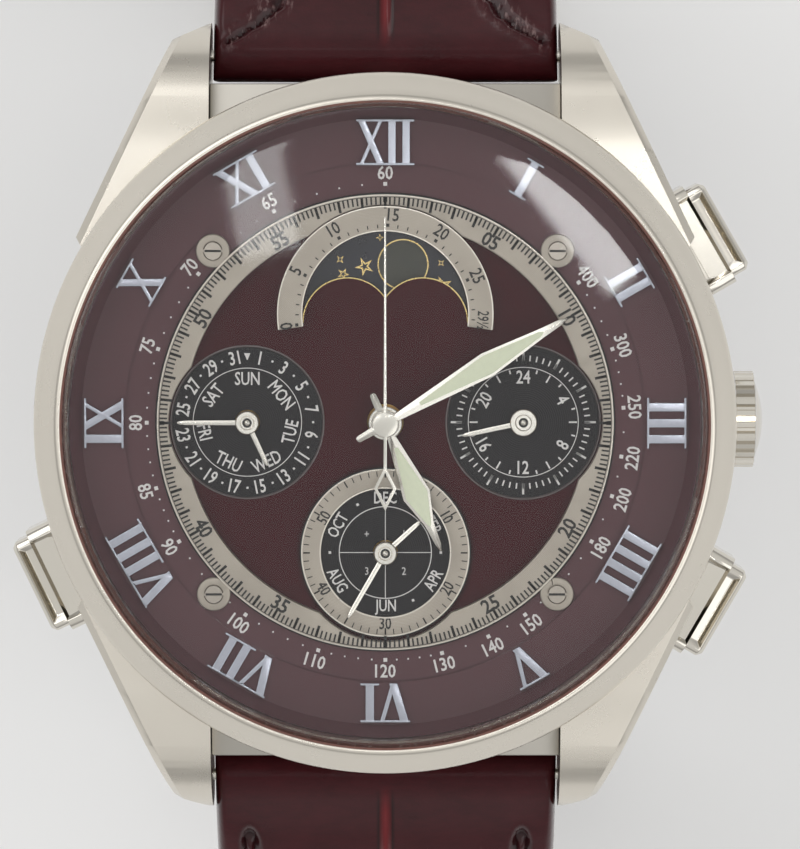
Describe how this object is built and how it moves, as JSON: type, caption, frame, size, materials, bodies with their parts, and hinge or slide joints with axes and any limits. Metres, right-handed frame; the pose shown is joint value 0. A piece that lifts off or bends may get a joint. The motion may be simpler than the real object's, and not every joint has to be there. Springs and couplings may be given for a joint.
{
  "type": "moon phase watch",
  "caption": "Round steel moon phase wristwatch with subdials, applied numerals, crown, pushers and an unbuckled padded leather strap that it stands on.",
  "frame": {"origin": "centre of the case back's outer face", "axes": "+Z is the dial's normal, out through the crystal; +Y points to twelve o'clock; +X points to the crown"},
  "size_m": [0.0473, 0.0734, 0.0804],
  "materials": {
    "steel": "polished",
    "crystal": "clear, domed",
    "seal": "matte",
    "back_steel": "circular brushed",
    "screw_steel": "polished, slotted",
    "dial_lacquer": "deep burgundy sunray lacquer",
    "flange_lacquer": "purple burgundy lacquer",
    "numeral_metal": "polished, applied",
    "silver_scale": "fine silvered",
    "subdial_black": "fine ringed",
    "moon_print": "night blue with gold print",
    "hand_steel": "polished",
    "lume": "pale green",
    "brass_wheel": "satin",
    "movement_nickel": "satin nickel",
    "holder_plastic": "moulded",
    "board_green": "lacquered",
    "battery_steel": "bright",
    "coil_copper": "wound",
    "leather": "embossed, semi gloss"
  },
  "bodies": {
    "case": {"case_middle": "steel", "bezel": "steel", "crystal": "crystal", "crystal_gasket": "seal", "case_back": "back_steel", "case_back_gasket": "seal", "case_back_screws": "screw_steel", "dial": "dial_lacquer", "dial_flange": "flange_lacquer", "roman_numerals": "numeral_metal", "chapter_ring": "silver_scale", "chapter_ring_screws": "screw_steel", "moon_scale_ring": "silver_scale", "calendar_subdial": "subdial_black", "hours_subdial": "subdial_black", "month_subdial": "subdial_black", "month_scale_ring": "silver_scale", "main_plate": "movement_nickel", "movement_holder": "holder_plastic", "circuit_board": "board_green", "battery": "battery_steel", "motor_coils": "coil_copper", "crown_tube": "screw_steel", "pusher_guards": "steel", "spring_bar_upper": "screw_steel", "spring_bar_lower": "screw_steel"},
    "moon": {"moon_disc": "moon_print"},
    "hour": {"hour_wheel": "brass_wheel", "hour_hand": "hand_steel", "hour_lume": "lume"},
    "minute": {"cannon_pinion": "brass_wheel", "minute_hand": "hand_steel", "minute_lume": "lume"},
    "seconds": {"seconds_hand": "hand_steel"},
    "weekday": {"weekday_hand": "hand_steel", "weekday_wheel": "brass_wheel"},
    "date": {"date_hand": "hand_steel", "date_wheel": "brass_wheel"},
    "month": {"month_hand": "hand_steel", "month_wheel": "brass_wheel"},
    "small_minute": {"small_minute_hand": "hand_steel", "small_minute_wheel": "brass_wheel"},
    "hours24": {"hours24_wheel": "brass_wheel", "hours24_hand": "hand_steel"},
    "minute_wheel": {"minute_wheel": "brass_wheel"},
    "idler": {"idler_wheel": "brass_wheel"},
    "lever": {"setting_lever": "screw_steel"},
    "crown": {"crown": "steel", "crown_gasket": "seal", "crown_stem": "screw_steel"},
    "pusher_upper": {"pusher_upper": "steel"},
    "pusher_lower": {"pusher_lower": "steel"},
    "pusher_left": {"pusher_left": "steel"},
    "strap_short": {"strap_short": "leather", "keeper_fixed": "leather"},
    "keeper_free": {"keeper_free": "leather"},
    "buckle": {"buckle_frame": "steel", "buckle_bar": "screw_steel"},
    "tongue": {"buckle_tongue": "steel"},
    "strap_long": {"strap_long": "leather"}
  },
  "joints": [
    {"name": "minute_turn", "type": "hinge", "parent": "case", "child": "minute", "pos_m": [0, 0, 0.0074], "axis": [0, 0, -1], "continuous": true},
    {"name": "hour_turn", "type": "hinge", "parent": "case", "child": "hour", "pos_m": [0, 0, 0.0074], "axis": [0, 0, -1], "continuous": true},
    {"name": "minute_wheel_turn", "type": "hinge", "parent": "case", "child": "minute_wheel", "pos_m": [-0.00255, -0.00255, 0.0074], "axis": [0, 0, -1], "continuous": true},
    {"name": "idler_turn", "type": "hinge", "parent": "case", "child": "idler", "pos_m": [0.00346, 0, 0.0074], "axis": [0, 0, -1], "continuous": true},
    {"name": "hours24_turn", "type": "hinge", "parent": "case", "child": "hours24", "pos_m": [0.00864, 0, 0.0074], "axis": [0, 0, -1], "continuous": true},
    {"name": "seconds_turn", "type": "hinge", "parent": "case", "child": "seconds", "pos_m": [0, 0, 0.0074], "axis": [0, 0, -1], "continuous": true},
    {"name": "date_turn", "type": "hinge", "parent": "case", "child": "date", "pos_m": [-0.00864, 0, 0.0074], "axis": [0, 0, -1], "continuous": true},
    {"name": "weekday_turn", "type": "hinge", "parent": "case", "child": "weekday", "pos_m": [-0.00864, 0, 0.0074], "axis": [0, 0, -1], "continuous": true},
    {"name": "month_turn", "type": "hinge", "parent": "case", "child": "month", "pos_m": [0, -0.0082, 0.0074], "axis": [0, 0, -1], "continuous": true},
    {"name": "small_minute_turn", "type": "hinge", "parent": "case", "child": "small_minute", "pos_m": [0, -0.0082, 0.0074], "axis": [0, 0, -1], "continuous": true},
    {"name": "moon_turn", "type": "hinge", "parent": "case", "child": "moon", "pos_m": [0, 0.0068, 0.0074], "axis": [0, 0, -1], "continuous": true},
    {"name": "crown_pull", "type": "slide", "parent": "case", "child": "lever", "axis": [1, 0, 0], "range_m": [0, 0.0008]},
    {"name": "crown_turn", "type": "hinge", "parent": "lever", "child": "crown", "pos_m": [0.022, 0, 0.0044], "axis": [1, 0, 0], "continuous": true},
    {"name": "pusher_upper_press", "type": "slide", "parent": "case", "child": "pusher_upper", "axis": [-0.866, -0.5, 0], "range_m": [0, 0.0008], "stiffness_N_per_m": 400},
    {"name": "pusher_lower_press", "type": "slide", "parent": "case", "child": "pusher_lower", "axis": [-0.866, 0.5, 0], "range_m": [0, 0.0008], "stiffness_N_per_m": 400},
    {"name": "pusher_left_press", "type": "slide", "parent": "case", "child": "pusher_left", "axis": [0.9026, 0.4305, 0], "range_m": [0, 0.0008], "stiffness_N_per_m": 400},
    {"name": "strap_short_swing", "type": "hinge", "parent": "case", "child": "strap_short", "pos_m": [0, 0.0229, 0.0024], "axis": [1, 0, 0], "range_deg": [-3, 60]},
    {"name": "strap_long_swing", "type": "hinge", "parent": "case", "child": "strap_long", "pos_m": [0, -0.0229, 0.0024], "axis": [-1, 0, 0], "range_deg": [-3, 60]},
    {"name": "buckle_swing", "type": "hinge", "parent": "strap_short", "child": "buckle", "pos_m": [0, 0.025, -0.06708], "axis": [1, 0, 0], "range_deg": [-90, 25]},
    {"name": "tongue_swing", "type": "hinge", "parent": "buckle", "child": "tongue", "pos_m": [0, 0.025, -0.06708], "axis": [1, 0, 0], "range_deg": [0, 20]},
    {"name": "keeper_slide", "type": "slide", "parent": "strap_short", "child": "keeper_free", "axis": [0, 0.0933, 0.9956], "range_m": [-0.0035, 0.005]}
  ],
  "couplings": [
    {"joint": "hour_turn", "follows": "minute_turn", "ratio": 0.083333},
    {"joint": "minute_wheel_turn", "follows": "minute_turn", "ratio": -0.33333},
    {"joint": "idler_turn", "follows": "minute_turn", "ratio": -0.083333},
    {"joint": "hours24_turn", "follows": "minute_turn", "ratio": 0.041667}
  ]
}
